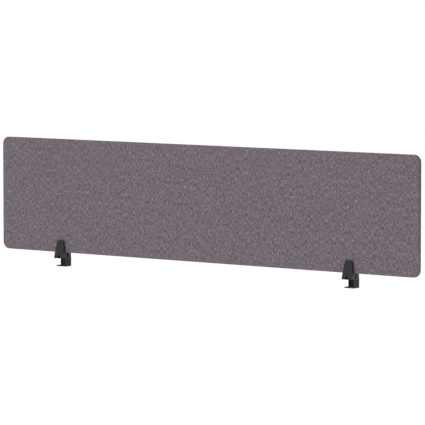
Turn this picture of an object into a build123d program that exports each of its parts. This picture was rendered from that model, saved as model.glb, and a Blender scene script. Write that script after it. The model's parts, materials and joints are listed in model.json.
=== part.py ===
"""Desk privacy panel: an upholstered screen held on a desk's rear edge by two screw clamps.

Frame: +X along the panel, +Y away from the desk user, +Z up, millimetres.
The origin lies on the desk top's rear upper edge, midway between the two clamps:
the desk's top surface is Z = 0 and its rear edge face is Y = 0, the panel's mid-plane.
"""
import os

from build123d import *

os.makedirs("parts", exist_ok=True)

# ---------------------------------------------------------------- driving dimensions
PANEL_LENGTH = 1800.0
PANEL_HEIGHT = 400.0
PANEL_THICKNESS = 16.0
PANEL_CORNER_R = 25.0
PANEL_EDGE_R = 4.0
FABRIC_THICKNESS = 0.8
PADDING_THICKNESS = 1.2

CLAMP_SPACING = 1250.0
PANEL_LIFT = 20.0           # panel's lower edge above the desk top
DESK_GAP = 24.0             # jaw opening, the clamp shown fully open
JAW_TRAVEL = 10.0           # the lower jaw rises this far
CHEEK_TRAVEL = 5.5          # the rear cheek backs off this far

PAD = 1.0                   # rubber pads on the cheeks and the upper jaw
PAD_CORNER_R = 1.5
PAD_INSET = 1.0             # bare rim round a pad
LOWER_PAD = 0.8
RUNNING = 0.05              # radial clearance of a screw or journal in its bore
SLIDING = 0.2               # clearance of flat sliding faces

# Bracket head: front cheek, upper jaw, neck and base plate in one casting
CHEEK_TOP = 63.0
CHEEK_TOP_HALF = 14.0
HEAD_HALF = 20.5
CHEEK_TOP_Y = -14.7
CHEEK_FOOT_Y = -21.0
JAW_FRONT_Y = -26.0
JAW_BACK_Y = -2.8
NECK_BACK_Y = 7.0
CHEEK_CORNER_R = 3.0
CHEEK_CHAMFER = 1.0
BASE_TOP = 0.5
BASE_BOTTOM = -2.0

# Clamp housing: the column behind the desk edge
COLUMN_HALF = 11.0
COLUMN_EDGE_R = 1.0
COLUMN_BACK = 32.4
HOUSING_BOTTOM = -28.4
END_CAP_BOTTOM = -30.8
END_CAP_CHAMFER = 0.5
CAVITY_HALF = 8.5
CAVITY_FRONT = 5.0
CAVITY_BACK = 26.0
CAVITY_TOP = -8.5
SLOT_LEFT = -8.5
SLOT_RIGHT = -2.5
SLOT_TOP = -3.0

# Rear cheek
REAR_CHEEK_EDGE_R = 1.5
REAR_FRONT_Y = 16.0
REAR_SHOULDER_Y = 31.4
REAR_TOP = 60.0
REAR_TOP_Y = 18.0
REAR_NOSE_Z = 21.0
TONGUE_HALF = 3.0
TONGUE_FRONT = 18.2
TONGUE_BACK = 24.0

# Grip screw, across the head and under the panel
GRIP_Z = 6.0
GRIP_R = 2.5
GRIP_HEAD_R = 4.25
GRIP_HEAD_THICKNESS = 5.0
GRIP_SEAT_Y = -13.0
GRIP_END_Y = 31.2
GRIP_SOCKET = 4.0
NOTCH_HALF = 4.6
GRIP_NUT_SIZE = 8.0
GRIP_NUT_FRONT = 23.0
GRIP_NUT_THICKNESS = 4.0
CLIP_R = 4.4
CLIP_THICKNESS = 0.8
CLIP_GROOVE_R = 2.1

# Clamp screw, upright in the housing
CLAMP_Y = 16.0
CLAMP_R = 3.0
CLAMP_COLLAR_R = 6.0
CLAMP_COLLAR_THICKNESS = 2.0
CLAMP_JOURNAL_R = 2.5
CLAMP_JOURNAL_DEPTH = 2.0
CLAMP_SPIGOT_R = 3.5
CLAMP_SOCKET = 4.0
JAW_NUT_SIZE = 10.0

# Lower jaw
JAW_PLATE_FRONT = -24.0
JAW_BOTTOM = -27.6
JAW_PLATE_CORNER_R = 2.0
CARRIAGE_TOP = CAVITY_TOP - JAW_TRAVEL - 0.5
WEB_FRONT = 2.0

# Countersunk screws
HOUSING_SCREW_R = 1.5
HOUSING_SCREW_LENGTH = 6.5
HOUSING_SCREW_HEAD_R = 2.8
CAP_SCREW_R = 1.25
CAP_SCREW_LENGTH = 8.0
CAP_SCREW_HEAD_R = 2.2
SCREW_TIP = 0.3

PANEL_BOTTOM = PANEL_LIFT
PANEL_FRONT = -PANEL_THICKNESS / 2
PANEL_BACK = PANEL_THICKNESS / 2
JAW_UNDERSIDE = PAD
JAW_PLATE_TOP = -DESK_GAP - LOWER_PAD


def upright(y, z):
    """A plane at (0, y, z) seen from the front: its own axes are +X and +Z."""
    return Plane(origin=(0, y, z), x_dir=(1, 0, 0), z_dir=(0, -1, 0))


def across(y, z):
    """A plane at (0, y, z) whose normal points along +Y."""
    return Plane(origin=(0, y, z), x_dir=(1, 0, 0), z_dir=(0, 1, 0))


def flat(x, y, z):
    """A plane at (x, y, z) whose normal points up."""
    return Plane(origin=(x, y, z), x_dir=(1, 0, 0), z_dir=(0, 0, 1))


# ---------------------------------------------------------------- panel
def panel_slab(inset):
    """The panel's rounded slab, shrunk by inset on every side."""
    with BuildPart() as slab:
        with BuildSketch(upright(0, PANEL_BOTTOM + PANEL_HEIGHT / 2)):
            RectangleRounded(
                PANEL_LENGTH - 2 * inset, PANEL_HEIGHT - 2 * inset, PANEL_CORNER_R - inset
            )
        extrude(amount=PANEL_THICKNESS / 2 - inset, both=True)
        rims = slab.faces().filter_by(Axis.Y).edges()
        fillet(rims, radius=PANEL_EDGE_R - inset)
    return slab.part


cover_slab = panel_slab(0)
filling_slab = panel_slab(FABRIC_THICKNESS)
core_half = PANEL_THICKNESS / 2 - FABRIC_THICKNESS - PADDING_THICKNESS
core_front_plane = Plane.XZ.offset(core_half)
core_back_plane = Plane.XZ.offset(-core_half)

with BuildPart() as core_board:
    add(filling_slab)
    split(bisect_by=core_front_plane, keep=Keep.BOTTOM)
    split(bisect_by=core_back_plane, keep=Keep.TOP)

with BuildPart() as front_padding:
    add(filling_slab)
    split(bisect_by=core_front_plane, keep=Keep.TOP)

with BuildPart() as rear_padding:
    add(filling_slab)
    split(bisect_by=core_back_plane, keep=Keep.BOTTOM)

# The two covers meet in a seam along the middle of the edge.
with BuildPart() as front_fabric:
    add(cover_slab)
    add(filling_slab, mode=Mode.SUBTRACT)
    split(bisect_by=Plane.XZ, keep=Keep.TOP)

with BuildPart() as rear_fabric:
    add(cover_slab)
    add(filling_slab, mode=Mode.SUBTRACT)
    split(bisect_by=Plane.XZ, keep=Keep.BOTTOM)

panel_pieces = {
    "core_board": core_board,
    "front_padding": front_padding,
    "rear_padding": rear_padding,
    "front_fabric": front_fabric,
    "rear_fabric": rear_fabric,
}


# ---------------------------------------------------------------- bracket, about X = 0
def countersunk_screw(radius, head_radius, length):
    """A countersunk screw's solid, head at Z = 0 and shank downwards."""
    cone = head_radius - radius
    with BuildPart() as screw:
        with BuildSketch(Plane.XZ):
            with BuildLine():
                Polyline(
                    (0, 0),
                    (head_radius, 0),
                    (radius, -cone),
                    (radius, SCREW_TIP - length),
                    (radius - SCREW_TIP, -length),
                    (0, -length),
                    close=True,
                )
            make_face()
        revolve(axis=Axis.Z)
        with BuildSketch(Plane.XY):
            RegularPolygon(radius=0.6 * radius, side_count=6)
        extrude(amount=-radius, mode=Mode.SUBTRACT)
    return screw.part


housing_screw_spots = [(sx * 7.0, y) for sx in (-1, 1) for y in (11.5, 28.4)]
cap_screw_spots = [(5.5, 2.5), (-5.5, 29.2)]

with BuildPart() as bracket_head:
    with BuildSketch(Plane.YZ):
        with BuildLine():
            Polyline(
                (JAW_FRONT_Y, JAW_UNDERSIDE),
                (CHEEK_FOOT_Y, PANEL_BOTTOM),
                (CHEEK_TOP_Y, CHEEK_TOP),
                (PANEL_FRONT - PAD, CHEEK_TOP),
                (PANEL_FRONT - PAD, PANEL_BOTTOM),
                (JAW_BACK_Y, PANEL_BOTTOM),
                (JAW_BACK_Y, JAW_UNDERSIDE),
                close=True,
            )
        make_face()
    extrude(amount=HEAD_HALF, both=True)
    with BuildSketch(Plane.XZ):
        with BuildLine():
            Polyline(
                (-HEAD_HALF, JAW_UNDERSIDE),
                (-HEAD_HALF, PANEL_BOTTOM),
                (-CHEEK_TOP_HALF, CHEEK_TOP),
                (CHEEK_TOP_HALF, CHEEK_TOP),
                (HEAD_HALF, PANEL_BOTTOM),
                (HEAD_HALF, JAW_UNDERSIDE),
                close=True,
            )
        make_face()
    extrude(amount=-2 * JAW_FRONT_Y, both=True, mode=Mode.INTERSECT)
    cheek_corners = bracket_head.edges().filter_by(Axis.Y).group_by(Axis.Z)[-1]
    fillet(cheek_corners, radius=CHEEK_CORNER_R)
    front_faces = bracket_head.faces().filter_by(Axis.X, reverse=True).sort_by(Axis.Y)[:2]
    front_rim = front_faces.edges().filter_by_position(Axis.Z, JAW_UNDERSIDE + 1, CHEEK_TOP + 1)
    top_rim = bracket_head.faces().sort_by(Axis.Z)[-1].edges().sort_by(Axis.Y)[0]
    chamfer(front_rim + [top_rim], length=CHEEK_CHAMFER)
    # neck under the panel, and the base plate behind the desk edge
    with BuildSketch(Plane.YZ):
        with BuildLine():
            Polyline(
                (JAW_BACK_Y, JAW_UNDERSIDE),
                (JAW_BACK_Y, PANEL_BOTTOM),
                (NECK_BACK_Y, PANEL_BOTTOM),
                (NECK_BACK_Y, BASE_TOP),
                (COLUMN_BACK, BASE_TOP),
                (COLUMN_BACK, BASE_BOTTOM),
                (0, BASE_BOTTOM),
                (0, JAW_UNDERSIDE),
                close=True,
            )
        make_face()
    extrude(amount=COLUMN_HALF, both=True)
    # notch in the jaw's front for the grip screw's head, and the screw's bore
    with BuildSketch(across(GRIP_SEAT_Y, GRIP_Z)):
        Circle(NOTCH_HALF)
        with Locations((0, (GRIP_Z - JAW_UNDERSIDE) / 2)):
            Rectangle(2 * NOTCH_HALF, GRIP_Z - JAW_UNDERSIDE)
    extrude(amount=JAW_FRONT_Y - GRIP_SEAT_Y, mode=Mode.SUBTRACT)
    with BuildSketch(across(GRIP_SEAT_Y, GRIP_Z)):
        Circle(GRIP_R + RUNNING)
    extrude(amount=NECK_BACK_Y - GRIP_SEAT_Y, mode=Mode.SUBTRACT)
    # guide slot for the rear cheek's tongue
    slot_length = TONGUE_BACK - TONGUE_FRONT + CHEEK_TRAVEL + 2 * SLIDING
    with BuildSketch(flat(0, TONGUE_FRONT - SLIDING + slot_length / 2, BASE_BOTTOM)):
        Rectangle(2 * (TONGUE_HALF + SLIDING / 2), slot_length)
    extrude(amount=BASE_TOP - BASE_BOTTOM, mode=Mode.SUBTRACT)
    with Locations(*[(x, y, BASE_TOP) for x, y in housing_screw_spots]):
        CounterSinkHole(
            radius=HOUSING_SCREW_R + RUNNING,
            counter_sink_radius=HOUSING_SCREW_HEAD_R + RUNNING,
        )

with BuildPart() as front_cheek_pad:
    with BuildSketch(Plane.XZ.offset(-PANEL_FRONT)):
        with BuildLine():
            Polyline(
                (-HEAD_HALF + 2 * PAD_INSET, PANEL_BOTTOM + PAD_INSET),
                (-CHEEK_TOP_HALF + 1.5 * PAD_INSET, CHEEK_TOP - 1.5 * PAD_INSET),
                (CHEEK_TOP_HALF - 1.5 * PAD_INSET, CHEEK_TOP - 1.5 * PAD_INSET),
                (HEAD_HALF - 2 * PAD_INSET, PANEL_BOTTOM + PAD_INSET),
                close=True,
            )
        make_face()
    extrude(amount=PAD)

with BuildPart() as upper_jaw_pad:
    with BuildSketch(flat(0, (JAW_FRONT_Y + JAW_BACK_Y) / 2, 0)):
        RectangleRounded(
            2 * (HEAD_HALF - PAD_INSET), JAW_BACK_Y - JAW_FRONT_Y - PAD_INSET, PAD_CORNER_R
        )
    extrude(amount=PAD)

with BuildPart() as rear_cheek:
    with BuildSketch(Plane.YZ):
        with BuildLine():
            Polyline(
                (REAR_FRONT_Y, BASE_TOP),
                (REAR_FRONT_Y, REAR_NOSE_Z),
                (PANEL_BACK + PAD, REAR_NOSE_Z),
                (PANEL_BACK + PAD, REAR_TOP),
                (REAR_TOP_Y, REAR_TOP),
                (REAR_SHOULDER_Y, PANEL_BOTTOM),
                (COLUMN_BACK, BASE_TOP),
                close=True,
            )
        make_face()
    extrude(amount=COLUMN_HALF, both=True)
    side_edges = rear_cheek.faces().filter_by(Axis.X).edges().filter_by(Axis.Y, reverse=True)
    back_corners = side_edges.filter_by_position(Axis.Y, REAR_TOP_Y, COLUMN_BACK)
    fillet(back_corners, radius=REAR_CHEEK_EDGE_R)
    # tongue in the base plate's slot
    with BuildSketch(flat(0, (TONGUE_FRONT + TONGUE_BACK) / 2, BASE_BOTTOM + SLIDING)):
        Rectangle(2 * TONGUE_HALF, TONGUE_BACK - TONGUE_FRONT)
    extrude(amount=BASE_TOP - BASE_BOTTOM - SLIDING)
    # bore for the grip screw and the pocket for its nut, open to the back
    with BuildSketch(across(REAR_FRONT_Y, GRIP_Z)):
        Circle(GRIP_R + SLIDING)
    extrude(amount=GRIP_NUT_FRONT - REAR_FRONT_Y, mode=Mode.SUBTRACT)
    with BuildSketch(across(GRIP_NUT_FRONT, GRIP_Z)):
        RegularPolygon(radius=GRIP_NUT_SIZE / 2, side_count=6, major_radius=False)
    extrude(amount=COLUMN_BACK - GRIP_NUT_FRONT, mode=Mode.SUBTRACT)

with BuildPart() as rear_cheek_pad:
    with BuildSketch(across(PANEL_BACK, (REAR_NOSE_Z + REAR_TOP) / 2)):
        RectangleRounded(
            2 * (COLUMN_HALF - PAD_INSET), REAR_TOP - REAR_NOSE_Z - 2 * PAD_INSET, PAD_CORNER_R
        )
    extrude(amount=PAD)

with BuildPart() as grip_nut:
    with BuildSketch(across(GRIP_NUT_FRONT, GRIP_Z)):
        RegularPolygon(radius=GRIP_NUT_SIZE / 2, side_count=6, major_radius=False)
        Circle(GRIP_R + RUNNING, mode=Mode.SUBTRACT)
    extrude(amount=GRIP_NUT_THICKNESS)

with BuildPart() as grip_screw:
    with BuildSketch(across(GRIP_SEAT_Y - GRIP_HEAD_THICKNESS, GRIP_Z)):
        Circle(GRIP_HEAD_R)
    extrude(amount=GRIP_HEAD_THICKNESS)
    chamfer(grip_screw.edges().group_by(Axis.Y)[0], length=0.4)
    with BuildSketch(across(GRIP_SEAT_Y, GRIP_Z)):
        Circle(GRIP_R)
    extrude(amount=GRIP_END_Y - GRIP_SEAT_Y)
    chamfer(grip_screw.edges().group_by(Axis.Y)[-1], length=0.5)
    with BuildSketch(across(GRIP_SEAT_Y - GRIP_HEAD_THICKNESS, GRIP_Z)):
        RegularPolygon(radius=GRIP_SOCKET / 2, side_count=6, major_radius=False)
    extrude(amount=GRIP_HEAD_THICKNESS / 2, mode=Mode.SUBTRACT)
    # groove for the retaining clip
    with BuildSketch(across(NECK_BACK_Y + RUNNING, GRIP_Z)):
        Circle(GRIP_R + RUNNING)
        Circle(CLIP_GROOVE_R, mode=Mode.SUBTRACT)
    extrude(amount=CLIP_THICKNESS + 2 * RUNNING, mode=Mode.SUBTRACT)

with BuildPart() as grip_screw_clip:
    with BuildSketch(across(NECK_BACK_Y + 2 * RUNNING, GRIP_Z)):
        Circle(CLIP_R)
        Circle(CLIP_GROOVE_R + RUNNING, mode=Mode.SUBTRACT)
        with Locations((0, CLIP_R)):
            Rectangle(2 * CLIP_GROOVE_R - 0.8, 2 * CLIP_R, mode=Mode.SUBTRACT)
    extrude(amount=CLIP_THICKNESS)

with BuildPart() as clamp_housing:
    with BuildSketch(flat(0, COLUMN_BACK / 2, HOUSING_BOTTOM)):
        Rectangle(2 * COLUMN_HALF, COLUMN_BACK)
    extrude(amount=BASE_BOTTOM - HOUSING_BOTTOM)
    fillet(clamp_housing.edges().filter_by(Axis.Z), radius=COLUMN_EDGE_R)
    with BuildSketch(flat(0, (CAVITY_FRONT + CAVITY_BACK) / 2, HOUSING_BOTTOM)):
        Rectangle(2 * CAVITY_HALF, CAVITY_BACK - CAVITY_FRONT)
    extrude(amount=CAVITY_TOP - HOUSING_BOTTOM, mode=Mode.SUBTRACT)
    # slot in the front wall for the lower jaw's web
    with BuildSketch(flat((SLOT_LEFT + SLOT_RIGHT) / 2, CAVITY_FRONT / 2, HOUSING_BOTTOM)):
        Rectangle(SLOT_RIGHT - SLOT_LEFT, CAVITY_FRONT)
    extrude(amount=SLOT_TOP - HOUSING_BOTTOM, mode=Mode.SUBTRACT)
    # upper journal of the clamp screw
    with BuildSketch(flat(0, CLAMP_Y, CAVITY_TOP)):
        Circle(CLAMP_JOURNAL_R + RUNNING)
    extrude(amount=CLAMP_JOURNAL_DEPTH, mode=Mode.SUBTRACT)
    pilot_depth = HOUSING_SCREW_LENGTH - BASE_TOP + BASE_BOTTOM + SLIDING
    with Locations(*[(x, y, BASE_BOTTOM) for x, y in housing_screw_spots]):
        Hole(HOUSING_SCREW_R + RUNNING, depth=pilot_depth)
    with BuildSketch(flat(0, 0, HOUSING_BOTTOM)):
        with Locations(*cap_screw_spots):
            Circle(CAP_SCREW_R + RUNNING)
    extrude(amount=CAP_SCREW_LENGTH, mode=Mode.SUBTRACT)

with BuildPart() as end_cap:
    with BuildSketch(flat(0, COLUMN_BACK / 2, END_CAP_BOTTOM)):
        RectangleRounded(2 * COLUMN_HALF, COLUMN_BACK, COLUMN_EDGE_R)
    extrude(amount=HOUSING_BOTTOM - END_CAP_BOTTOM)
    chamfer(end_cap.edges().group_by(Axis.Z)[0], length=END_CAP_CHAMFER)
    with BuildSketch(flat(0, CLAMP_Y, END_CAP_BOTTOM)):
        Circle(CLAMP_SPIGOT_R + RUNNING)
    extrude(amount=HOUSING_BOTTOM - END_CAP_BOTTOM, mode=Mode.SUBTRACT)
    under = Plane(origin=(0, 0, END_CAP_BOTTOM), x_dir=(1, 0, 0), z_dir=(0, 0, -1))
    with Locations(under):
        with Locations(*[(x, -y) for x, y in cap_screw_spots]):
            CounterSinkHole(
                radius=CAP_SCREW_R + RUNNING, counter_sink_radius=CAP_SCREW_HEAD_R + RUNNING
            )

with BuildPart() as clamp_screw:
    with BuildSketch(upright(CLAMP_Y, 0)):
        with BuildLine():
            Polyline(
                (0, END_CAP_BOTTOM + 0.1),
                (CLAMP_SPIGOT_R, END_CAP_BOTTOM + 0.1),
                (CLAMP_SPIGOT_R, HOUSING_BOTTOM),
                (CLAMP_COLLAR_R, HOUSING_BOTTOM),
                (CLAMP_COLLAR_R, HOUSING_BOTTOM + CLAMP_COLLAR_THICKNESS),
                (CLAMP_R, HOUSING_BOTTOM + CLAMP_COLLAR_THICKNESS),
                (CLAMP_R, CAVITY_TOP - SLIDING),
                (CLAMP_JOURNAL_R, CAVITY_TOP - SLIDING),
                (CLAMP_JOURNAL_R, CAVITY_TOP + CLAMP_JOURNAL_DEPTH - SLIDING),
                (0, CAVITY_TOP + CLAMP_JOURNAL_DEPTH - SLIDING),
                close=True,
            )
        make_face()
    revolve(axis=Axis((0, CLAMP_Y, 0), (0, 0, 1)))
    with BuildSketch(flat(0, CLAMP_Y, END_CAP_BOTTOM)):
        RegularPolygon(radius=CLAMP_SOCKET / 2, side_count=6, major_radius=False)
    extrude(amount=CLAMP_SOCKET, mode=Mode.SUBTRACT)

carriage_roof = HOUSING_BOTTOM + CLAMP_COLLAR_THICKNESS + SLIDING
web_centre = (SLOT_LEFT + SLOT_RIGHT) / 2
web_width = SLOT_RIGHT - SLOT_LEFT - 2 * SLIDING

with BuildPart() as lower_jaw:
    plate_back = -SLIDING
    with BuildSketch(flat(0, (JAW_PLATE_FRONT + plate_back) / 2, JAW_BOTTOM)):
        RectangleRounded(2 * COLUMN_HALF, plate_back - JAW_PLATE_FRONT, JAW_PLATE_CORNER_R)
    extrude(amount=JAW_PLATE_TOP - JAW_BOTTOM)
    # web through the housing's slot, thin at the front and deep inside
    with BuildSketch(Plane.YZ.offset(web_centre)):
        with BuildLine():
            Polyline(
                (plate_back - 1, JAW_BOTTOM),
                (plate_back - 1, JAW_PLATE_TOP),
                (WEB_FRONT, JAW_PLATE_TOP),
                (WEB_FRONT, CARRIAGE_TOP),
                (CAVITY_FRONT + 1, CARRIAGE_TOP),
                (CAVITY_FRONT + 1, JAW_BOTTOM),
                close=True,
            )
        make_face()
    extrude(amount=web_width / 2, both=True)
    # carriage inside the housing
    with BuildSketch(flat(0, (CAVITY_FRONT + CAVITY_BACK) / 2, JAW_BOTTOM)):
        Rectangle(2 * (CAVITY_HALF - SLIDING), CAVITY_BACK - CAVITY_FRONT - 2 * SLIDING)
    extrude(amount=CARRIAGE_TOP - JAW_BOTTOM)
    with BuildSketch(flat(0, CLAMP_Y, JAW_BOTTOM)):
        Circle(CLAMP_COLLAR_R + SLIDING)
    extrude(amount=carriage_roof - JAW_BOTTOM, mode=Mode.SUBTRACT)
    with BuildSketch(flat(0, CLAMP_Y, carriage_roof)):
        RegularPolygon(radius=JAW_NUT_SIZE / 2, side_count=6, major_radius=False)
    extrude(amount=CARRIAGE_TOP - carriage_roof, mode=Mode.SUBTRACT)

with BuildPart() as jaw_nut:
    with BuildSketch(flat(0, CLAMP_Y, carriage_roof)):
        RegularPolygon(radius=JAW_NUT_SIZE / 2, side_count=6, major_radius=False)
        Circle(CLAMP_R + RUNNING, mode=Mode.SUBTRACT)
    extrude(amount=CARRIAGE_TOP - carriage_roof)

with BuildPart() as lower_jaw_pad:
    with BuildSketch(flat(0, (JAW_PLATE_FRONT + plate_back) / 2, JAW_PLATE_TOP)):
        RectangleRounded(
            2 * (COLUMN_HALF - PAD_INSET), plate_back - JAW_PLATE_FRONT - 2 * PAD_INSET, PAD_CORNER_R
        )
    extrude(amount=LOWER_PAD)

housing_screw = countersunk_screw(HOUSING_SCREW_R, HOUSING_SCREW_HEAD_R, HOUSING_SCREW_LENGTH)
cap_screw = countersunk_screw(CAP_SCREW_R, CAP_SCREW_HEAD_R, CAP_SCREW_LENGTH)

with BuildPart() as housing_screws:
    with Locations(*[(x, y, BASE_TOP - RUNNING) for x, y in housing_screw_spots]):
        add(housing_screw)

upside_down = (180, 0, 0)

with BuildPart() as end_cap_screws:
    with Locations(
        *[Location((x, y, END_CAP_BOTTOM + RUNNING), upside_down) for x, y in cap_screw_spots]
    ):
        add(cap_screw)

bracket_pieces = {
    "bracket_head": bracket_head,
    "front_cheek_pad": front_cheek_pad,
    "upper_jaw_pad": upper_jaw_pad,
    "rear_cheek": rear_cheek,
    "rear_cheek_pad": rear_cheek_pad,
    "grip_nut": grip_nut,
    "grip_screw": grip_screw,
    "grip_screw_clip": grip_screw_clip,
    "clamp_housing": clamp_housing,
    "housing_screws": housing_screws,
    "end_cap": end_cap,
    "end_cap_screws": end_cap_screws,
    "clamp_screw": clamp_screw,
    "lower_jaw": lower_jaw,
    "jaw_nut": jaw_nut,
    "lower_jaw_pad": lower_jaw_pad,
}

# ---------------------------------------------------------------- output
for label, piece in panel_pieces.items():
    piece.part.label = label
    export_step(piece.part, f"parts/{label}.step")

for side, clamp_x in (("left", -CLAMP_SPACING / 2), ("right", CLAMP_SPACING / 2)):
    for label, piece in bracket_pieces.items():
        placed = piece.part.moved(Location((clamp_x, 0, 0)))
        placed.label = f"{side}_{label}"
        export_step(placed, f"parts/{placed.label}.step")
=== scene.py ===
import json
import math

import bpy
import numpy as np
from mathutils import Matrix, Vector, noise


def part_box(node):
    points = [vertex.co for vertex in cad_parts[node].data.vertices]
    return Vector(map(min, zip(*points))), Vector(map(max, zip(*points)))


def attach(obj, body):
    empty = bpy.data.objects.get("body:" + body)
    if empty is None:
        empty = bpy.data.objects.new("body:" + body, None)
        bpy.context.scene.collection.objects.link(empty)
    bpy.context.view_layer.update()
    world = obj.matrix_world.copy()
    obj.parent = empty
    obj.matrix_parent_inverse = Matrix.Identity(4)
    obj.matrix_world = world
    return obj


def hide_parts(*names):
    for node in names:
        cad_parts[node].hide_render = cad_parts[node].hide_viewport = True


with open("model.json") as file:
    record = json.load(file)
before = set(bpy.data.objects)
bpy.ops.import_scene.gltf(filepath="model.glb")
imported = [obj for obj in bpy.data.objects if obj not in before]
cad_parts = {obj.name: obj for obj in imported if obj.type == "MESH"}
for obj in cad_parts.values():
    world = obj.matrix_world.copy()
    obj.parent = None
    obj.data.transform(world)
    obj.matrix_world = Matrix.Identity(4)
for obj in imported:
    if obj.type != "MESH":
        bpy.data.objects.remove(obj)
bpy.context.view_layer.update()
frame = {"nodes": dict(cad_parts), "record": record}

MM = 0.001

# ------------------------------------------------------------------ sizes, in metres
PANEL_LOW, PANEL_HIGH = (Vector(c) for c in (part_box("front_fabric")[0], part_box("rear_fabric")[1]))
PANEL_HALF_LENGTH = (PANEL_HIGH.x - PANEL_LOW.x) / 2
PANEL_HALF_HEIGHT = (PANEL_HIGH.z - PANEL_LOW.z) / 2
PANEL_CENTRE_Z = (PANEL_HIGH.z + PANEL_LOW.z) / 2
PANEL_FACE = PANEL_HIGH.y
CORNER_R = 25 * MM
EDGE_R = 4 * MM
FABRIC = 0.8 * MM
PADDING = 1.2 * MM

SHARP_ANGLE = math.radians(50)
SIDES = ("left", "right")
DESK_HEIGHT = 0.72


# ------------------------------------------------------------------ meshes
def rounded_grid(half_u, half_v, corner, block, block_cells, cells_u, cells_v):
    """Quads over a rounded rectangle: points (nu+1, nv+1, 2), its rim's indices and their outward normals."""
    nu, nv = cells_u + 2 * block_cells, cells_v + 2 * block_cells
    straight = block - corner
    arc = corner * math.pi / 4
    mid = math.cos(math.pi / 4)
    far = Vector((straight + corner * mid, straight + corner * mid))

    def along_side(s):
        """A point and normal on the block's outer side, from its foot to the middle of the arc."""
        run = s * (straight + arc)
        if run <= straight:
            return Vector((block, run)), Vector((1, 0))
        angle = (run - straight) / corner
        out = Vector((math.cos(angle), math.sin(angle)))
        return Vector((straight, straight)) + corner * out, out

    def patch(p, q):
        """A point of the corner block and the normal of its nearer side."""
        right, right_normal = along_side(q)
        top, top_normal = (v.yx for v in along_side(p))
        edges = (1 - q) * Vector((p * block, 0)) + q * top + (1 - p) * Vector((0, q * block)) + p * right
        corners = p * (1 - q) * Vector((block, 0)) + (1 - p) * q * Vector((0, block)) + p * q * far
        return edges - corners, right_normal if p >= 1 else top_normal

    def outness(i, cells, n, half):
        """Side, how far into the corner block, and the plain coordinate."""
        inner = half - block
        if i < block_cells:
            return -1, (block_cells - i) / block_cells, -inner - (block_cells - i) / block_cells * block
        if i > n - block_cells:
            k = (i - n + block_cells) / block_cells
            return 1, k, inner + k * block
        return 1, 0.0, -inner + (i - block_cells) / cells * 2 * inner

    points = np.zeros((nu + 1, nv + 1, 2))
    normals = np.zeros((nu + 1, nv + 1, 2))
    for i in range(nu + 1):
        side_u, p, u = outness(i, cells_u, nu, half_u)
        for j in range(nv + 1):
            side_v, q, v = outness(j, cells_v, nv, half_v)
            if p > 0 and q > 0:
                at, normal = patch(p, q)
                points[i, j] = side_u * (half_u - block + at.x), side_v * (half_v - block + at.y)
                normals[i, j] = side_u * normal.x, side_v * normal.y
            else:
                points[i, j] = u, v
                normals[i, j] = (side_u, 0) if i in (0, nu) else (0, side_v)
    rim = [(i, 0) for i in range(nu)] + [(nu, j) for j in range(nv)]
    rim += [(i, nv) for i in range(nu, 0, -1)] + [(0, j) for j in range(nv, 0, -1)]
    return points, normals, rim


def rounded_shell(name, grid, front, back, place, relief=None):
    """A closed shell over a rounded grid. front and back list (outward, depth) of the rings beyond the flat
    face, the last of front being the outermost. place maps (u, v, depth) arrays to points. The cloth
    attribute holds each point's place in the flat, unrolled sheet, and its depth."""
    points, normals, rim = grid
    nu, nv = points.shape[0] - 1, points.shape[1] - 1
    face = points.reshape(-1, 2)
    rim_index = np.array([i * (nv + 1) + j for i, j in rim])
    rim_points, rim_normals = face[rim_index], normals.reshape(-1, 2)[rim_index]
    count = len(rim)

    coords, cloth, quads = [], [], []

    def add_points(uv, depth, flat_uv):
        start = sum(len(c) for c in coords)
        coords.append(np.c_[uv, np.broadcast_to(depth, len(uv))])
        cloth.append(flat_uv)
        return start

    def add_rings(rows, first_ring):
        """Adds rings and joins each to the one before it; returns the last ring's indices."""
        ring = first_ring
        run, last = 0.0, rows[0]
        for out, depth in rows[1:]:
            run += math.hypot(out - last[0], depth - last[1])
            last = (out, depth)
            start = add_points(rim_points + rim_normals * out, depth, rim_points + rim_normals * run)
            now = np.arange(start, start + count)
            quads.append(np.c_[now, np.roll(now, -1), np.roll(ring, -1), ring])
            ring = now
        return ring

    cells = np.array([(i, j) for i in range(nu) for j in range(nv)])
    corner = cells[:, 0] * (nv + 1) + cells[:, 1]
    front_start = add_points(face, front[0][1], face)
    quads.append(np.c_[corner, corner + nv + 1, corner + nv + 2, corner + 1] + front_start)
    outer_ring = add_rings(front, rim_index + front_start)

    back_start = add_points(face, back[0][1], face)
    quads.append(np.c_[corner, corner + 1, corner + nv + 2, corner + nv + 1] + back_start)
    before = len(quads)
    inner_ring = add_rings(back, rim_index + back_start)
    for k in range(before, len(quads)):
        quads[k] = quads[k][:, ::-1]
    quads.append(np.c_[inner_ring, np.roll(inner_ring, -1), np.roll(outer_ring, -1), outer_ring])

    xyz = np.concatenate(coords)
    cloth = np.c_[np.concatenate(cloth), xyz[:, 2]]
    if relief is not None:
        xyz = relief(xyz, front_count=back_start)
    mesh = bpy.data.meshes.new(name)
    mesh.from_pydata(place(xyz).tolist(), [], np.concatenate(quads).tolist())
    mesh.attributes.new("cloth", "FLOAT_VECTOR", "POINT").data.foreach_set(
        "vector", cloth.astype(np.float32).ravel()
    )
    mesh.polygons.foreach_set("use_smooth", [True] * len(mesh.polygons))
    mesh.set_sharp_from_angle(angle=SHARP_ANGLE)
    mesh.update()
    piece = bpy.data.objects.new(name, mesh)
    bpy.context.scene.collection.objects.link(piece)
    return piece


def quarter_round(radius, steps, start=0.0, to=90.0):
    """Rings of an edge rounding: outward and depth, from the flat face on."""
    angles = [math.radians(to) * k / steps for k in range(steps + 1)]
    return [(radius * math.sin(a), start + radius * (1 - math.cos(a))) for a in angles]


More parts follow.
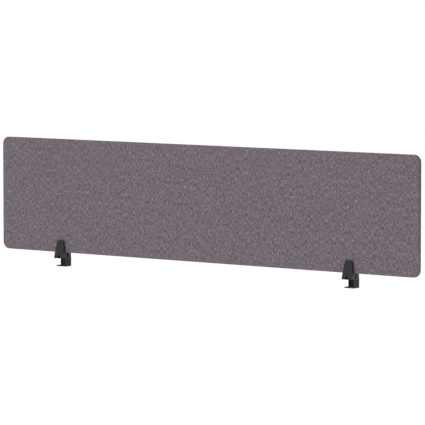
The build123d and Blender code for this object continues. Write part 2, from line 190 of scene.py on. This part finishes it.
# ------------------------------------------------------------------ material helpers
class Graph:
    """A node tree under construction for one material. An input is a plain value or another node's output."""

    def __init__(self, name):
        self.material = bpy.data.materials.new(name)
        self.material.use_nodes = True
        self.tree = self.material.node_tree
        self.bsdf = self.tree.nodes["Principled BSDF"]

    def node(self, kind, inputs=None, **settings):
        """Adds a node; inputs are given by name or index."""
        made = self.tree.nodes.new(kind)
        for key, value in settings.items():
            setattr(made, key, value)
        for key, value in (inputs or {}).items():
            self.plug(value, made.inputs[key])
        return made

    def plug(self, value, socket):
        if isinstance(value, bpy.types.NodeSocket):
            self.tree.links.new(value, socket)
        else:
            socket.default_value = value

    def math(self, operation, a, b=0.0, c=0.0, clamp=False):
        inputs = {0: a, 1: b, 2: c}
        return self.node("ShaderNodeMath", inputs, operation=operation, use_clamp=clamp).outputs[0]

    def vector(self, operation, a, b=(0, 0, 0)):
        return self.node("ShaderNodeVectorMath", {0: a, 1: b}, operation=operation).outputs[0]

    def pair(self, x, y):
        return self.node("ShaderNodeCombineXYZ", {0: x, 1: y}).outputs[0]

    def noise(self, at, scale, detail=2.0, roughness=0.5, distortion=0.0):
        return self.node(
            "ShaderNodeTexNoise",
            {
                "Vector": at,
                "Scale": scale,
                "Detail": detail,
                "Roughness": roughness,
                "Distortion": distortion,
            },
        ).outputs["Fac"]

    def ramp(self, value, low, high):
        """value stretched so that low gives 0 and high gives 1."""
        return self.node(
            "ShaderNodeMapRange", {"Value": value, "From Min": low, "From Max": high}, clamp=True
        ).outputs["Result"]

    def mix(self, factor, a, b):
        """Number a at 0 and number b at 1."""
        return self.node("ShaderNodeMix", {0: factor, 2: a, 3: b}).outputs[0]

    def blend(self, factor, a, b, mode="MIX"):
        """Colour a at 0, and at 1 colour b laid over it by mode."""
        inputs = {0: factor, 6: a, 7: b}
        return self.node("ShaderNodeMix", inputs, data_type="RGBA", blend_type=mode).outputs[2]

    def position(self):
        return self.node("ShaderNodeTexCoord").outputs["Object"]

    def bump(self, height, distance, strength=1.0):
        return self.node(
            "ShaderNodeBump", {"Height": height, "Distance": distance, "Strength": strength}
        ).outputs["Normal"]

    def edges(self, radius, low, high):
        """1 on convex and concave edges, 0 on flat faces."""
        round_normal = self.node("ShaderNodeBevel", {"Radius": radius}, samples=4).outputs["Normal"]
        flat_normal = self.node("ShaderNodeNewGeometry").outputs["Normal"]
        turned = self.node(
            "ShaderNodeVectorMath", {0: round_normal, 1: flat_normal}, operation="DOT_PRODUCT"
        ).outputs["Value"]
        return self.ramp(self.math("SUBTRACT", 1.0, turned), low, high)

    def finish(self, **sockets):
        for key, value in sockets.items():
            self.plug(value, self.bsdf.inputs[key.replace("_", " ")])
        return self.material


def rgb(r, g, b):
    """A colour from its sRGB values out of 255."""
    def linear(c):
        c /= 255
        return c / 12.92 if c <= 0.04045 else ((c + 0.055) / 1.055) ** 2.4

    return linear(r), linear(g), linear(b), 1.0


# ------------------------------------------------------------------ materials
YARN_U = 1.25 * MM                  # spacing of the upright yarns, and of the ones across
YARN_V = 1.45 * MM
YARN_WANDER = 0.9 * MM
YARN_ROUNDNESS = 0.5
UPRIGHT_YARN_DRIFT, CROSS_YARN_DRIFT = 0.16, 0.2      # how fast one yarn's shade changes along it
YARN_SHADE_WEIGHT = 0.9
STREAK_WIDTH = 3.2 * MM
STREAK_LENGTH = 12 * MM
SLUB_OFFSET = 0.15
CROSS_SLUB_WEIGHT = 0.5
DARK_FLECK_WEIGHT, LIGHT_FLECK_WEIGHT = 0.75, 0.6
HUE_PATCH = (9 * MM, 22 * MM, 1.0)
HUE_WEIGHT = 0.34
MIDDLE_SHADE = 0.36
YARN_CROWN = 0.55
# painted shade for the yarn gaps and painted highlight for the yarn crowns
GAP_PAINTED_SHADE, CROWN_PAINTED_HIGHLIGHT = (0.49, 0.465, 0.505, 1), (1.22, 1.215, 1.225, 1)
# painted shade along the panel's rim, by depth behind the flat face
EDGE_PAINTED_SHADE = 0.62
EDGE_SHADE_STARTS, EDGE_SHADE_FULL = 0.2 * MM, 2.5 * MM           # depth behind the flat face
WEAVE_RELIEF = 0.22 * MM
FUZZ_SCALE = 4200.0


def woven_fabric():
    """Marled mauve-grey weave: plain-woven yarns, upright slubs, dark and light flecks, drifting hue."""
    g = Graph("mauve_weave")
    cloth = g.node("ShaderNodeAttribute", attribute_name="cloth").outputs["Vector"]
    split = g.node("ShaderNodeSeparateXYZ", {0: cloth})
    # the yarns wander a little
    wander = g.math("MULTIPLY", g.math("SUBTRACT", g.noise(cloth, 70.0), 0.5), YARN_WANDER)
    u = g.math("DIVIDE", g.math("ADD", split.outputs["X"], wander), YARN_U)
    v = g.math("DIVIDE", g.math("ADD", split.outputs["Y"], wander), YARN_V)
    wave_u = g.math("SINE", g.math("MULTIPLY", u, math.pi))
    wave_v = g.math("SINE", g.math("MULTIPLY", v, math.pi))
    crown_u = g.math("ABSOLUTE", wave_u)
    crown_v = g.math("ABSOLUTE", wave_v)
    warp_over = g.math("GREATER_THAN", g.math("MULTIPLY", wave_u, wave_v), 0.0)

    def yarn_height(across, along):
        """A yarn's height from the wave across it and the wave along it."""
        arch = g.math("POWER", across, YARN_ROUNDNESS)
        return g.math("MULTIPLY", arch, g.math("MULTIPLY_ADD", along, 0.5, 0.5))

    warp_height = yarn_height(crown_u, crown_v)
    weft_height = yarn_height(crown_v, crown_u)
    yarn = g.mix(warp_over, weft_height, warp_height)

    # each warp yarn has its own shade along its length, and each weft yarn its own across
    warp_id = g.pair(g.math("FLOOR", u), g.math("MULTIPLY", v, UPRIGHT_YARN_DRIFT))
    weft_id = g.pair(g.math("MULTIPLY", u, CROSS_YARN_DRIFT), g.math("FLOOR", v))
    warp_shade = g.noise(warp_id, 1.7, detail=1.0)
    weft_shade = g.noise(g.vector("ADD", weft_id, (31.7, 12.3, 5.1)), 1.7, detail=1.0)
    yarn_shade = g.mix(warp_over, weft_shade, warp_shade)

    # slubs a few yarns wide, mostly upright; the shifts keep the noises apart
    upright = g.vector("DIVIDE", cloth, (STREAK_WIDTH, STREAK_LENGTH, 1.0))
    lying = g.vector("DIVIDE", cloth, (STREAK_LENGTH, STREAK_WIDTH, 1.0))
    slubs = g.noise(upright, 1.0, detail=1.5, roughness=0.6)
    cross_slubs = g.noise(g.vector("ADD", lying, (7.7, 3.1, 0.0)), 1.0, detail=1.0)
    dark_flecks = g.ramp(g.noise(g.vector("ADD", upright, (17.0, 43.0, 0.0)), 1.0, detail=1.0), 0.60, 0.68)
    light_flecks = g.ramp(g.noise(g.vector("ADD", upright, (71.0, 5.0, 0.0)), 1.0, detail=1.0), 0.61, 0.69)

    across_part = g.math("MULTIPLY", g.math("SUBTRACT", cross_slubs, 0.5), CROSS_SLUB_WEIGHT)
    yarn_part = g.math("MULTIPLY", g.math("SUBTRACT", yarn_shade, 0.5), YARN_SHADE_WEIGHT)
    shade = g.math("ADD", g.math("SUBTRACT", slubs, SLUB_OFFSET), across_part)
    shade = g.math("ADD", shade, yarn_part, clamp=True)
    colour = g.node("ShaderNodeValToRGB", {"Fac": shade})
    stops = colour.color_ramp.elements
    stops[0].position, stops[0].color = 0.0, rgb(60, 51, 59)
    stops[1].position, stops[1].color = 1.0, rgb(150, 140, 146)
    middle = stops.new(MIDDLE_SHADE)
    middle.color = rgb(105, 95, 102)
    dark_part = g.math("MULTIPLY", dark_flecks, DARK_FLECK_WEIGHT)
    light_part = g.math("MULTIPLY", light_flecks, LIGHT_FLECK_WEIGHT)
    shown = g.blend(dark_part, colour.outputs["Color"], rgb(56, 45, 58))
    shown = g.blend(light_part, shown, rgb(158, 149, 152))
    # purple and blue-grey drift
    hue = g.ramp(g.noise(g.vector("DIVIDE", cloth, HUE_PATCH), 1.0, detail=2.0), 0.38, 0.62)
    drift = g.blend(hue, rgb(132, 112, 132), rgb(120, 128, 128))
    shown = g.blend(HUE_WEIGHT, shown, drift, mode="SOFT_LIGHT")
    # painted shade in the gaps between yarns and painted highlight on the yarn crowns, by yarn height
    yarn_painted_light = g.ramp(yarn, 0.0, YARN_CROWN)
    shown = g.blend(1.0, shown, g.blend(yarn_painted_light, GAP_PAINTED_SHADE, CROWN_PAINTED_HIGHLIGHT), mode="MULTIPLY")
    # painted shade along the panel's rim: the cloth turned round the edge is darkened by its depth behind the
    # flat face
    turned = g.ramp(split.outputs["Z"], EDGE_SHADE_STARTS, EDGE_SHADE_FULL)
    shown = g.blend(g.math("MULTIPLY", turned, EDGE_PAINTED_SHADE), shown, rgb(52, 44, 51))

    fuzz = g.noise(cloth, FUZZ_SCALE, detail=1.0)
    height = g.math("ADD", yarn, g.math("MULTIPLY", slubs, 0.6))
    height = g.math("ADD", height, g.math("MULTIPLY", fuzz, 0.25))
    rough = g.math("MULTIPLY_ADD", fuzz, 0.12, 0.84)
    return g.finish(
        Base_Color=shown,
        Roughness=rough,
        Normal=g.bump(height, WEAVE_RELIEF, 0.8),
        Specular_IOR_Level=0.25,
        Sheen_Weight=0.12,
        Sheen_Roughness=0.6,
    )


def felt_padding():
    g = Graph("felt_padding")
    at = g.position()
    fibres = g.noise(g.vector("MULTIPLY", at, (1.0, 1.0, 3.0)), 900.0, detail=4.0, distortion=1.5)
    clumps = g.noise(at, 90.0, detail=2.0)
    tone = g.math("ADD", g.math("MULTIPLY", fibres, 0.6), g.math("MULTIPLY", clumps, 0.4))
    colour = g.blend(g.ramp(tone, 0.3, 0.7), rgb(176, 172, 164), rgb(222, 219, 211))
    return g.finish(
        Base_Color=colour, Roughness=0.95, Normal=g.bump(fibres, 0.3 * MM), Sheen_Weight=0.2,
        Specular_IOR_Level=0.2,
    )


def fibreboard():
    g = Graph("fibreboard")
    at = g.position()
    flakes = g.noise(g.vector("MULTIPLY", at, (1.0, 6.0, 1.0)), 500.0, detail=5.0, roughness=0.7)
    specks = g.ramp(g.noise(at, 1400.0, detail=1.0), 0.62, 0.72)
    colour = g.blend(g.ramp(flakes, 0.35, 0.65), rgb(146, 112, 76), rgb(190, 158, 116))
    colour = g.blend(g.math("MULTIPLY", specks, 0.5), colour, rgb(92, 66, 42))
    return g.finish(Base_Color=colour, Roughness=0.85, Normal=g.bump(flakes, 0.1 * MM))


WORN_EDGE = 0.6 * MM
WORN_POLISH = 0.18
COAT_RELIEF = 0.06 * MM
COAT_UNEVENNESS = 0.08


def powder_coat(name, dark, light, worn, grain, roughness, specular, wear=0.5):
    """Textured coat: fine grain, uneven gloss, and edges rubbed a little lighter and smoother."""
    g = Graph(name)
    at = g.position()
    texture = g.noise(at, 1 / grain, detail=3.0, roughness=0.6)
    drift = g.noise(at, 45.0, detail=3.0)
    tone = g.math("ADD", g.math("MULTIPLY", texture, 0.55), g.math("MULTIPLY", drift, 0.45))
    colour = g.blend(g.ramp(tone, 0.34, 0.66), dark, light)
    patches = g.ramp(g.noise(at, 380.0, detail=4.0), 0.4, 0.62)
    rubbed = g.math("MULTIPLY", g.edges(WORN_EDGE, 0.02, 0.22), patches)
    rubbed = g.math("MULTIPLY", rubbed, wear)
    colour = g.blend(rubbed, colour, worn)
    gloss = g.math("MULTIPLY_ADD", drift, 2 * COAT_UNEVENNESS, roughness - COAT_UNEVENNESS)
    gloss = g.math("SUBTRACT", gloss, g.math("MULTIPLY", rubbed, WORN_POLISH))
    return g.finish(
        Base_Color=colour,
        Roughness=gloss,
        Normal=g.bump(texture, COAT_RELIEF, 0.7),
        Specular_IOR_Level=specular,
    )


def turned_metal(name, dark, light, roughness, metallic, lathe_axis):
    """Plated steel with fine turning marks round an axis and small stains."""
    g = Graph(name)
    at = g.position()
    stretch = {"Y": (1.0, 12.0, 1.0), "Z": (1.0, 1.0, 12.0)}[lathe_axis]
    marks = g.noise(g.vector("MULTIPLY", at, stretch), 700.0, detail=3.0, roughness=0.7)
    stains = g.noise(at, 260.0, detail=3.0)
    tone = g.math("ADD", g.math("MULTIPLY", marks, 0.5), g.math("MULTIPLY", stains, 0.5))
    rubbed = g.math("MULTIPLY", g.edges(0.3 * MM, 0.03, 0.25), 0.5)
    colour = g.blend(g.ramp(tone, 0.35, 0.65), dark, light)
    colour = g.blend(rubbed, colour, rgb(150, 148, 144))
    gloss = g.math("MULTIPLY_ADD", stains, 0.2, roughness - 0.1)
    return g.finish(
        Base_Color=colour, Roughness=gloss, Metallic=metallic, Normal=g.bump(marks, 0.02 * MM),
    )


def grip_rubber():
    g = Graph("grip_rubber")
    at = g.position()
    bloom = g.ramp(g.noise(at, 160.0, detail=4.0), 0.42, 0.68)
    pores = g.noise(at, 3800.0, detail=2.0)
    colour = g.blend(bloom, rgb(24, 23, 25), rgb(46, 45, 47))
    rough = g.math("MULTIPLY_ADD", bloom, 0.15, 0.72)
    return g.finish(
        Base_Color=colour, Roughness=rough, Normal=g.bump(pores, 0.05 * MM), Specular_IOR_Level=0.3,
    )


MATERIALS = {
    "cover_fabric": woven_fabric(),
    "padding": felt_padding(),
    "core_board": fibreboard(),
    "bracket_black": powder_coat(
        "charcoal_powder_coat",
        rgb(20, 20, 21), rgb(32, 32, 33), rgb(88, 88, 90),
        grain=0.55 * MM, roughness=0.46, specular=0.3,
    ),
    "housing_black": powder_coat(
        "black_moulding",
        rgb(13, 13, 14), rgb(23, 23, 24), rgb(56, 56, 58),
        grain=0.35 * MM, roughness=0.5, specular=0.18, wear=0.35,
    ),
    "jaw_steel": powder_coat(
        "black_coated_steel",
        rgb(16, 16, 17), rgb(27, 27, 28), rgb(108, 106, 104),
        grain=0.7 * MM, roughness=0.55, specular=0.35, wear=0.6,
    ),
    "screw_steel": turned_metal(
        "black_oxide_steel",
        rgb(34, 34, 37), rgb(62, 61, 62),
        roughness=0.42, metallic=0.9, lathe_axis="Y",
    ),
    "nut_steel": turned_metal(
        "zinc_plated_steel",
        rgb(150, 150, 152), rgb(196, 195, 190),
        roughness=0.32, metallic=1.0, lathe_axis="Z",
    ),
    "pad_rubber": grip_rubber(),
}
UPRIGHT_STEEL = turned_metal(
    "black_oxide_steel_upright",
    rgb(34, 34, 37), rgb(62, 61, 62),
    roughness=0.42, metallic=0.9, lathe_axis="Z",
)

# ------------------------------------------------------------------ panel
CELL = 10 * MM                      # mesh size over the flat face
BLOCK = 48 * MM                     # square at each corner that carries the rounding
BLOCK_CELLS = 7
UNEVENNESS = 0.14 * MM
UNEVENNESS_SCALE = 11
GATHER_HEIGHT = 1.1                 # against the unevenness
GATHERS_PER_TURN = 36


def panel_grid(inset):
    """The grid of a flat face that starts inset inside the panel's outline."""
    half_u, half_v = PANEL_HALF_LENGTH - inset, PANEL_HALF_HEIGHT - inset
    return rounded_grid(
        half_u, half_v, CORNER_R - inset, BLOCK, BLOCK_CELLS,
        round(2 * (half_u - BLOCK) / CELL), round(2 * (half_v - BLOCK) / CELL),
    )


def panel_place(side):
    """Maps (u, v, depth) to the panel's front for side -1 or its rear for side 1."""
    def place(points):
        u, v, depth = points.T
        return np.c_[-side * u, side * (PANEL_FACE - depth), PANEL_CENTRE_Z + v]

    return place


def stretched(amount, seed):
    """Relief of cloth pulled over a soft face, inward only: unevenness, and gathers at the corners."""
    def relief(points, front_count):
        out = points.copy()
        for k in range(front_count):
            u, v, depth = points[k]
            soft = noise.noise(Vector((u * UNEVENNESS_SCALE, v * UNEVENNESS_SCALE, seed))) * 0.5 + 0.5
            reach_u = max(0.0, abs(u) - (PANEL_HALF_LENGTH - CORNER_R))
            reach_v = max(0.0, abs(v) - (PANEL_HALF_HEIGHT - CORNER_R))
            gather = 0.0
            if reach_u > 0 and reach_v > 0:
                angle = math.atan2(reach_v, reach_u)
                near = min(1.0, math.hypot(reach_u, reach_v) / CORNER_R)
                gather = near ** 3 * (0.5 - 0.5 * math.cos(angle * GATHERS_PER_TURN))
            fading = max(0.0, 1 - depth / PANEL_FACE)
            out[k, 2] = depth + amount * (soft + GATHER_HEIGHT * gather) * fading
        return out

    return relief


# Outward and depth of each ring. The covers' lips turn in and meet at the seam along the middle of the edge.
lip = [
    (EDGE_R, 6.6 * MM),
    (EDGE_R - 0.05 * MM, 7.2 * MM),
    (EDGE_R - 0.3 * MM, 7.65 * MM),
    (EDGE_R - 0.7 * MM, 7.92 * MM),
]
cover_front = quarter_round(EDGE_R, 6) + [(EDGE_R, 5.3 * MM)] + lip
cover_back = quarter_round(EDGE_R - FABRIC, 5, FABRIC)
cover_back += [(EDGE_R - FABRIC, 6.4 * MM), (EDGE_R - FABRIC, 7.3 * MM)]
padding_arc = math.degrees(math.acos(1 - PADDING / (EDGE_R - FABRIC)))
padding_face = FABRIC + 0.2 * MM
padding_front = quarter_round(EDGE_R - FABRIC - 0.05 * MM, 5, padding_face, padding_arc * 0.9)
padding_back = [(0.0, FABRIC + PADDING), (padding_front[-1][0] - 0.1 * MM, FABRIC + PADDING)]
cover_grid = panel_grid(EDGE_R)

for word, side, seed in (("front", -1, 3.0), ("rear", 1, 8.0)):
    cover = rounded_shell(
        f"{word}_cover", cover_grid, cover_front, cover_back, panel_place(side), stretched(UNEVENNESS, seed)
    )
    cover.data.materials.append(MATERIALS["cover_fabric"])
    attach(cover, "panel")
    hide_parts(f"{word}_fabric")
    pad = rounded_shell(f"{word}_felt", cover_grid, padding_front, padding_back, panel_place(side))
    pad.data.materials.append(MATERIALS["padding"])
    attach(pad, "panel")
    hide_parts(f"{word}_padding")


# ------------------------------------------------------------------ clamp pads
FRONT_PAD_TAPER = 0.32
RIB_PITCH = 2.4 * MM
RIB_DEPTH = 0.3 * MM
PAD_CELL = 0.4 * MM
PAD_EDGE = 0.3 * MM
PAD_CORNER = 1.2 * MM
PAD_BLOCK = 3 * MM
PAD_BLOCK_CELLS = 6
RIB_RIM = 1.2 * MM
RIB_RUNOUT = 0.5 * MM
RIB_SHARE = 0.25                    # widens the grooves against the ribs


def ribbed(half_u, half_v):
    """Grooves along u, stopping short of the pad's rim."""
    def relief(points, front_count):
        out = points.copy()
        u, v = out[:front_count, 0], out[:front_count, 1]
        inside = np.clip((half_u - RIB_RIM - np.abs(u)) / RIB_RUNOUT, 0, 1)
        inside *= np.clip((half_v - RIB_RIM - np.abs(v)) / RIB_RUNOUT, 0, 1)
        groove = np.clip(RIB_SHARE - np.cos(2 * np.pi * v / RIB_PITCH), 0, 1)
        out[:front_count, 2] += RIB_DEPTH * groove * inside
        return out

    return relief


def ribbed_pad(node, body, axis, outward, taper=0.0):
    """A ribbed rubber pad in the CAD pad's space. axis is its thickness and outward the ribbed side's sign.
    taper narrows it towards its upper end."""
    low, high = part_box(node)
    centre, half = (low + high) / 2, (high - low) / 2
    across = 1 if axis == "Y" else 2
    up = 3 - across
    thickness = 2 * half[across]
    half_u, half_v = half.x - PAD_EDGE, half[up] - PAD_EDGE
    grid = rounded_grid(
        half_u, half_v, PAD_CORNER, PAD_BLOCK, PAD_BLOCK_CELLS,
        round((half_u - PAD_BLOCK) / PAD_CELL), round(2 * (half_v - PAD_BLOCK) / PAD_CELL),
    )

    def place(points):
        u, v, depth = points.T
        made = np.zeros((len(u), 3))
        narrow = 1 - taper * (v / half_v + 1) / 2
        made[:, 0] = centre.x + u * narrow * (outward if across == 2 else -outward)
        made[:, across] = centre[across] + outward * (thickness / 2 - depth)
        made[:, up] = centre[up] + v
        return made

    front = quarter_round(PAD_EDGE, 3)
    back = [(0.0, thickness), (PAD_EDGE * 0.6, thickness), (PAD_EDGE, thickness - PAD_EDGE * 0.4)]
    name = node.replace("_pad", "_ribbed_pad")
    piece = rounded_shell(name, grid, front, back, place, ribbed(half_u, half_v))
    piece.data.materials.append(MATERIALS["pad_rubber"])
    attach(piece, body)
    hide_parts(node)


for side in SIDES:
    ribbed_pad(f"{side}_upper_jaw_pad", f"{side}_bracket", "Z", -1)
    ribbed_pad(f"{side}_lower_jaw_pad", f"{side}_lower_jaw_slider", "Z", 1)
    ribbed_pad(f"{side}_rear_cheek_pad", f"{side}_rear_cheek_slider", "Y", -1)
    ribbed_pad(f"{side}_front_cheek_pad", f"{side}_bracket", "Y", 1, taper=FRONT_PAD_TAPER)

# ------------------------------------------------------------------ CAD nodes
slot_of = {row["node"]: row["material_slot"] for row in frame["record"]["subparts"]}
UPRIGHT_SCREWS = ("housing_screws", "end_cap_screws", "clamp_screw")
for name, node in frame["nodes"].items():
    upright_screw = name.split("_", 1)[-1] in UPRIGHT_SCREWS
    node.data.materials.clear()
    node.data.materials.append(UPRIGHT_STEEL if upright_screw else MATERIALS[slot_of[name]])

# ------------------------------------------------------------------ floor, light, camera
FLOOR_HALF = 160.0
FLOOR_GREY = 0.93
WORLD_STRENGTH = 1.08
floor_mesh = bpy.data.meshes.new("floor")
corners = [(x * FLOOR_HALF, y * FLOOR_HALF, -DESK_HEIGHT) for x, y in ((-1, -1), (1, -1), (1, 1), (-1, 1))]
floor_mesh.from_pydata(corners, [], [(0, 1, 2, 3)])
floor = bpy.data.objects.new("floor", floor_mesh)
bpy.context.scene.collection.objects.link(floor)
pale = Graph("pale_floor")
floor_mesh.materials.append(
    pale.finish(Base_Color=(FLOOR_GREY, FLOOR_GREY, FLOOR_GREY, 1), Roughness=0.9, Specular_IOR_Level=0.2)
)

scene = bpy.context.scene
world = bpy.data.worlds.new("studio")
world.use_nodes = True
world.node_tree.nodes["Background"].inputs["Color"].default_value = (1, 1, 1, 1)
world.node_tree.nodes["Background"].inputs["Strength"].default_value = WORLD_STRENGTH
scene.world = world
scene.view_settings.view_transform = "Standard"


def softbox(name, place, target, size, power):
    light = bpy.data.lights.new(name, "AREA")
    light.shape = "SQUARE"
    light.size = size
    light.energy = power
    lamp = bpy.data.objects.new(name, light)
    lamp.location = place
    lamp.rotation_mode = "QUATERNION"
    lamp.rotation_quaternion = (Vector(target) - Vector(place)).to_track_quat("-Z", "Y")
    scene.collection.objects.link(lamp)


PANEL_CENTRE = Vector((0, 0, PANEL_CENTRE_Z))
softbox("side_softbox", (4.5, 2.4, 1.2), PANEL_CENTRE, size=2.6, power=60)
softbox("top_softbox", (0.5, -1.0, 4.0), PANEL_CENTRE, size=3.0, power=40)

AZIMUTH, ELEVATION = math.radians(38.07), math.radians(4.44)
CAMERA_DISTANCE = 11.235
CAMERA_RIGHT, CAMERA_DOWN = 0.0356, 0.0296
SENSOR_WIDTH, LENS = 36, 279.3      # millimetres
FAR_CLIP = 600
back = Vector((
    math.sin(AZIMUTH) * math.cos(ELEVATION), -math.cos(AZIMUTH) * math.cos(ELEVATION), math.sin(ELEVATION)
))
right = Vector((math.cos(AZIMUTH), math.sin(AZIMUTH), 0))
up = back.cross(right)
camera = bpy.data.objects.new("camera", bpy.data.cameras.new("camera"))
camera.data.sensor_width = SENSOR_WIDTH
camera.data.lens = LENS
camera.data.clip_end = FAR_CLIP
camera.matrix_world = Matrix.Translation(
    PANEL_CENTRE + back * CAMERA_DISTANCE + right * CAMERA_RIGHT - up * CAMERA_DOWN
) @ Matrix((right, up, back)).transposed().to_4x4()
scene.collection.objects.link(camera)
scene.camera = camera
